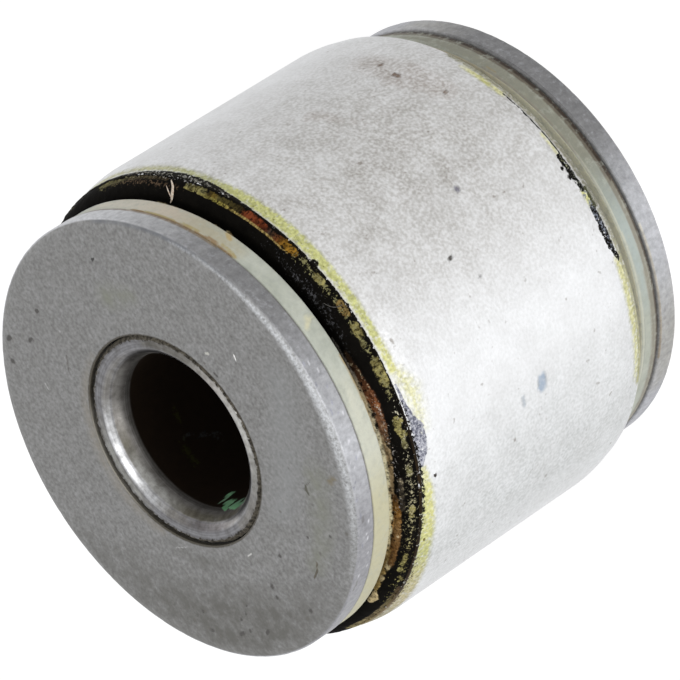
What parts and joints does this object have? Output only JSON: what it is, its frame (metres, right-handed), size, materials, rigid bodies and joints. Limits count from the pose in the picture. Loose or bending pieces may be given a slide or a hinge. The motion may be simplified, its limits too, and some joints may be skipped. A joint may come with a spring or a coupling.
{
  "type": "rubber metal bush",
  "caption": "Bonded rubber-to-metal bush: steel tube for a bolt, rubber spring, press-in steel sleeve, and a nylon wear disc and steel thrust washer at each end.",
  "frame": {"origin": "centre of the outer face of the rear thrust washer, which the bush stands on", "axes": "+Z along the bore, from the rear washer to the front one; X and Y are free, because the bush is round"},
  "size_m": [0.075, 0.075, 0.0697],
  "materials": {
    "tube_steel": "turned and rolled mouth, dark rusty bore",
    "sleeve_steel": "matt zinc, with yellow passivate and black flash at the ends",
    "rubber": "moulded black, worn and stained",
    "nylon": "ivory nylon with amber stains",
    "washer_steel": "grey phosphate, lightly scratched"
  },
  "bodies": {
    "root": {"inner_sleeve": "tube_steel", "outer_sleeve": "sleeve_steel", "rubber_body": "rubber", "front_wear_disc": "nylon", "rear_wear_disc": "nylon", "front_thrust_washer": "washer_steel", "rear_thrust_washer": "washer_steel"}
  },
  "joints": []
}
